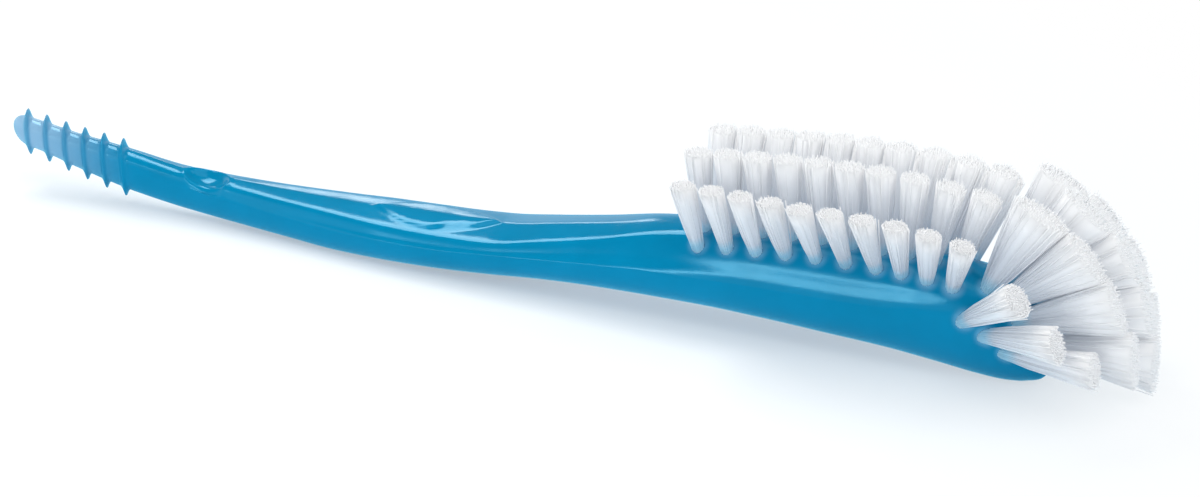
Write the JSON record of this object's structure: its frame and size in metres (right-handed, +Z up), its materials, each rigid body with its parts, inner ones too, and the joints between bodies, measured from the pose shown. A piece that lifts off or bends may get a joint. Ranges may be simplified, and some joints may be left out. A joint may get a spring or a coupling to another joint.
{
  "type": "bottle brush",
  "caption": "Bottle and teat brush: slim curved plastic handle with a ribbed teat tip, a thumb scoop and a raised pad, and a domed head with rows and a fan of stiff nylon tufts",
  "frame": {"origin": "on the surface that the brush lies on, under the middle of its bounding box", "axes": "+X from the ribbed teat tip to the brush head, +Y across the handle, +Z up, the way the tuft rows stand"},
  "size_m": [0.3192, 0.0556, 0.0512],
  "materials": {
    "handle_plastic": "glossy, slightly translucent blue moulded plastic, paler and clearer at the thin teat tip",
    "bristle_nylon": "white nylon filaments with cut ends"
  },
  "bodies": {
    "root": {"handle": "handle_plastic", "tuft_outer_near_1": "bristle_nylon", "tuft_outer_near_2": "bristle_nylon", "tuft_outer_near_3": "bristle_nylon", "tuft_outer_near_4": "bristle_nylon", "tuft_outer_near_5": "bristle_nylon", "tuft_outer_near_6": "bristle_nylon", "tuft_outer_near_7": "bristle_nylon", "tuft_outer_near_8": "bristle_nylon", "tuft_outer_near_9": "bristle_nylon", "tuft_outer_near_10": "bristle_nylon", "tuft_outer_far_1": "bristle_nylon", "tuft_outer_far_2": "bristle_nylon", "tuft_outer_far_3": "bristle_nylon", "tuft_outer_far_4": "bristle_nylon", "tuft_outer_far_5": "bristle_nylon", "tuft_outer_far_6": "bristle_nylon", "tuft_outer_far_7": "bristle_nylon", "tuft_outer_far_8": "bristle_nylon", "tuft_outer_far_9": "bristle_nylon", "tuft_outer_far_10": "bristle_nylon", "tuft_inner_near_1": "bristle_nylon", "tuft_inner_near_2": "bristle_nylon", "tuft_inner_near_3": "bristle_nylon", "tuft_inner_near_4": "bristle_nylon", "tuft_inner_near_5": "bristle_nylon", "tuft_inner_near_6": "bristle_nylon", "tuft_inner_near_7": "bristle_nylon", "tuft_inner_near_8": "bristle_nylon", "tuft_inner_near_9": "bristle_nylon", "tuft_inner_near_10": "bristle_nylon", "tuft_inner_far_1": "bristle_nylon", "tuft_inner_far_2": "bristle_nylon", "tuft_inner_far_3": "bristle_nylon", "tuft_inner_far_4": "bristle_nylon", "tuft_inner_far_5": "bristle_nylon", "tuft_inner_far_6": "bristle_nylon", "tuft_inner_far_7": "bristle_nylon", "tuft_inner_far_8": "bristle_nylon", "tuft_inner_far_9": "bristle_nylon", "tuft_inner_far_10": "bristle_nylon", "tuft_fan_outer_near_1": "bristle_nylon", "tuft_fan_outer_near_2": "bristle_nylon", "tuft_fan_outer_near_3": "bristle_nylon", "tuft_fan_outer_far_1": "bristle_nylon", "tuft_fan_outer_far_2": "bristle_nylon", "tuft_fan_outer_far_3": "bristle_nylon", "tuft_fan_inner_near_1": "bristle_nylon", "tuft_fan_inner_near_2": "bristle_nylon", "tuft_fan_inner_near_3": "bristle_nylon", "tuft_fan_inner_near_4": "bristle_nylon", "tuft_fan_inner_far_1": "bristle_nylon", "tuft_fan_inner_far_2": "bristle_nylon", "tuft_fan_inner_far_3": "bristle_nylon", "tuft_fan_inner_far_4": "bristle_nylon", "tuft_fan_middle_1": "bristle_nylon", "tuft_fan_middle_2": "bristle_nylon", "tuft_fan_middle_3": "bristle_nylon", "tuft_fan_middle_4": "bristle_nylon"}
  },
  "joints": []
}
